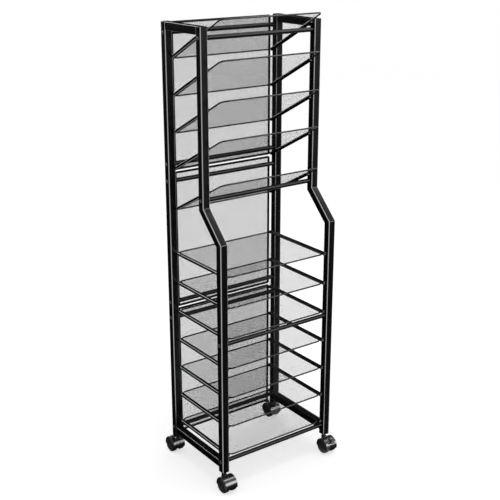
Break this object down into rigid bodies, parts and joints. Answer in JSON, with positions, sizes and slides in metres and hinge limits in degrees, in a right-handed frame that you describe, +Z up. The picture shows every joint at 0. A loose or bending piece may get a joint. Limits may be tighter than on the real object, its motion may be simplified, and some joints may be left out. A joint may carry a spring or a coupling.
{
  "type": "mobile file cart",
  "caption": "Tall mobile file cart of black square tube with flat mesh trays below, tilted mesh trays above, mesh back panels and twin-wheel swivel casters.",
  "frame": {"origin": "on the floor under the middle of the cart", "axes": "+Z up, +X to the right seen from the front, -Y to the front, where the trays load"},
  "size_m": [0.391, 0.3238, 1.2515],
  "materials": {
    "powder_coat": "gloss",
    "coated_mesh": "satin",
    "nylon": "satin",
    "tread": "satin",
    "steel": "zinc plated"
  },
  "bodies": {
    "frame": {"front_post_left": "powder_coat", "rear_post_left": "powder_coat", "top_rail_left": "powder_coat", "bottom_rail_left": "powder_coat", "front_post_right": "powder_coat", "rear_post_right": "powder_coat", "top_rail_right": "powder_coat", "bottom_rail_right": "powder_coat", "rear_bar_1": "powder_coat", "rear_bar_2": "powder_coat", "rear_bar_3": "powder_coat", "rear_bar_4": "powder_coat", "rear_bar_5": "powder_coat", "rear_bar_6": "powder_coat", "front_bar_1": "powder_coat", "front_bar_2": "powder_coat", "front_bar_3": "powder_coat", "front_bar_4": "powder_coat", "back_panel_lower": "coated_mesh", "back_panel_middle": "coated_mesh", "back_panel_upper": "coated_mesh", "flat_tray_1": "coated_mesh", "flat_tray_2": "coated_mesh", "flat_tray_3": "coated_mesh", "flat_tray_4": "coated_mesh", "flat_tray_5": "coated_mesh", "flat_tray_6": "coated_mesh", "flat_tray_7": "coated_mesh", "tilted_tray_1": "coated_mesh", "tilted_tray_2": "coated_mesh", "tilted_tray_3": "coated_mesh", "tilted_tray_4": "coated_mesh", "tilted_tray_5": "coated_mesh", "caster_front_left_socket": "nylon", "caster_front_right_socket": "nylon", "caster_rear_left_socket": "nylon", "caster_rear_right_socket": "nylon"},
    "caster_front_left_swivel": {"caster_front_left_stem": "steel", "caster_front_left_hood": "nylon", "caster_front_left_axle": "steel"},
    "caster_front_left_wheel_inner": {"caster_front_left_wheel_inner": "tread"},
    "caster_front_left_wheel_outer": {"caster_front_left_wheel_outer": "tread"},
    "caster_front_right_swivel": {"caster_front_right_stem": "steel", "caster_front_right_hood": "nylon", "caster_front_right_axle": "steel"},
    "caster_front_right_wheel_inner": {"caster_front_right_wheel_inner": "tread"},
    "caster_front_right_wheel_outer": {"caster_front_right_wheel_outer": "tread"},
    "caster_front_right_brake_pedal": {"caster_front_right_brake_pedal": "nylon"},
    "caster_rear_left_swivel": {"caster_rear_left_stem": "steel", "caster_rear_left_hood": "nylon", "caster_rear_left_axle": "steel"},
    "caster_rear_left_wheel_inner": {"caster_rear_left_wheel_inner": "tread"},
    "caster_rear_left_wheel_outer": {"caster_rear_left_wheel_outer": "tread"},
    "caster_rear_right_swivel": {"caster_rear_right_stem": "steel", "caster_rear_right_hood": "nylon", "caster_rear_right_axle": "steel"},
    "caster_rear_right_wheel_inner": {"caster_rear_right_wheel_inner": "tread"},
    "caster_rear_right_wheel_outer": {"caster_rear_right_wheel_outer": "tread"},
    "caster_rear_right_brake_pedal": {"caster_rear_right_brake_pedal": "nylon"}
  },
  "joints": [
    {"name": "caster_front_left_turn", "type": "hinge", "parent": "frame", "child": "caster_front_left_swivel", "pos_m": [-0.1765, -0.12, 0.05], "axis": [0, 0, 1], "continuous": true},
    {"name": "caster_front_left_wheel_inner_roll", "type": "hinge", "parent": "caster_front_left_swivel", "child": "caster_front_left_wheel_inner", "pos_m": [-0.1765, -0.134, 0.0215], "axis": [1, 0, 0], "continuous": true},
    {"name": "caster_front_left_wheel_outer_roll", "type": "hinge", "parent": "caster_front_left_swivel", "child": "caster_front_left_wheel_outer", "pos_m": [-0.1765, -0.134, 0.0215], "axis": [1, 0, 0], "continuous": true},
    {"name": "caster_front_right_turn", "type": "hinge", "parent": "frame", "child": "caster_front_right_swivel", "pos_m": [0.1765, -0.12, 0.05], "axis": [0, 0, 1], "continuous": true},
    {"name": "caster_front_right_wheel_inner_roll", "type": "hinge", "parent": "caster_front_right_swivel", "child": "caster_front_right_wheel_inner", "pos_m": [0.1765, -0.134, 0.0215], "axis": [1, 0, 0], "continuous": true},
    {"name": "caster_front_right_wheel_outer_roll", "type": "hinge", "parent": "caster_front_right_swivel", "child": "caster_front_right_wheel_outer", "pos_m": [0.1765, -0.134, 0.0215], "axis": [1, 0, 0], "continuous": true},
    {"name": "caster_front_right_brake_pedal_press", "type": "hinge", "parent": "caster_front_right_swivel", "child": "caster_front_right_brake_pedal", "pos_m": [0.1765, -0.1449, 0.03706], "axis": [1, 0, 0], "range_deg": [0, 12]},
    {"name": "caster_rear_left_turn", "type": "hinge", "parent": "frame", "child": "caster_rear_left_swivel", "pos_m": [-0.1765, 0.12, 0.05], "axis": [0, 0, 1], "continuous": true},
    {"name": "caster_rear_left_wheel_inner_roll", "type": "hinge", "parent": "caster_rear_left_swivel", "child": "caster_rear_left_wheel_inner", "pos_m": [-0.1765, 0.134, 0.0215], "axis": [1, 0, 0], "continuous": true},
    {"name": "caster_rear_left_wheel_outer_roll", "type": "hinge", "parent": "caster_rear_left_swivel", "child": "caster_rear_left_wheel_outer", "pos_m": [-0.1765, 0.134, 0.0215], "axis": [1, 0, 0], "continuous": true},
    {"name": "caster_rear_right_turn", "type": "hinge", "parent": "frame", "child": "caster_rear_right_swivel", "pos_m": [0.1765, 0.12, 0.05], "axis": [0, 0, 1], "continuous": true},
    {"name": "caster_rear_right_wheel_inner_roll", "type": "hinge", "parent": "caster_rear_right_swivel", "child": "caster_rear_right_wheel_inner", "pos_m": [0.1765, 0.134, 0.0215], "axis": [1, 0, 0], "continuous": true},
    {"name": "caster_rear_right_wheel_outer_roll", "type": "hinge", "parent": "caster_rear_right_swivel", "child": "caster_rear_right_wheel_outer", "pos_m": [0.1765, 0.134, 0.0215], "axis": [1, 0, 0], "continuous": true},
    {"name": "caster_rear_right_brake_pedal_press", "type": "hinge", "parent": "caster_rear_right_swivel", "child": "caster_rear_right_brake_pedal", "pos_m": [0.1765, 0.1449, 0.03706], "axis": [-1, 0, 0], "range_deg": [0, 12]}
  ]
}
